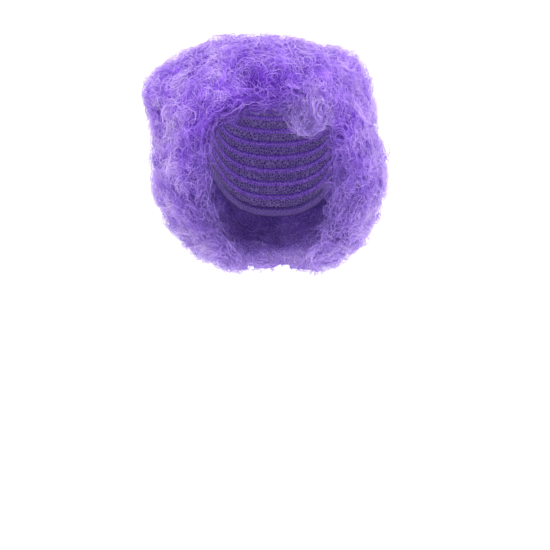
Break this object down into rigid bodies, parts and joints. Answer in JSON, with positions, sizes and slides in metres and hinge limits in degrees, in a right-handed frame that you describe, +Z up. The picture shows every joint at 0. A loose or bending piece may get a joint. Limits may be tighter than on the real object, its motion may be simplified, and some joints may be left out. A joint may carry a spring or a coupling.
{
  "type": "afro wig",
  "caption": "Violet afro wig: a stretch cap with a bound edge under a deep round mass of tufted hair, open for the face and neck, with one lock over the brow.",
  "frame": {"origin": "middle of the cap's crown on the inside, where the top of the head sits", "axes": "+Z up, the face opening towards -Y, +X to the wearer's left"},
  "size_m": [0.2601, 0.2637, 0.2595],
  "materials": {
    "cap_net": "matt knitted stretch net",
    "edge_tape": "matt woven elastic tape",
    "hair": "frizzy violet synthetic fibre with a soft sheen"
  },
  "bodies": {
    "root": {"wig_cap": "cap_net", "edge_band": "edge_tape", "hair_mass": "hair", "forelock": "hair"}
  },
  "joints": []
}
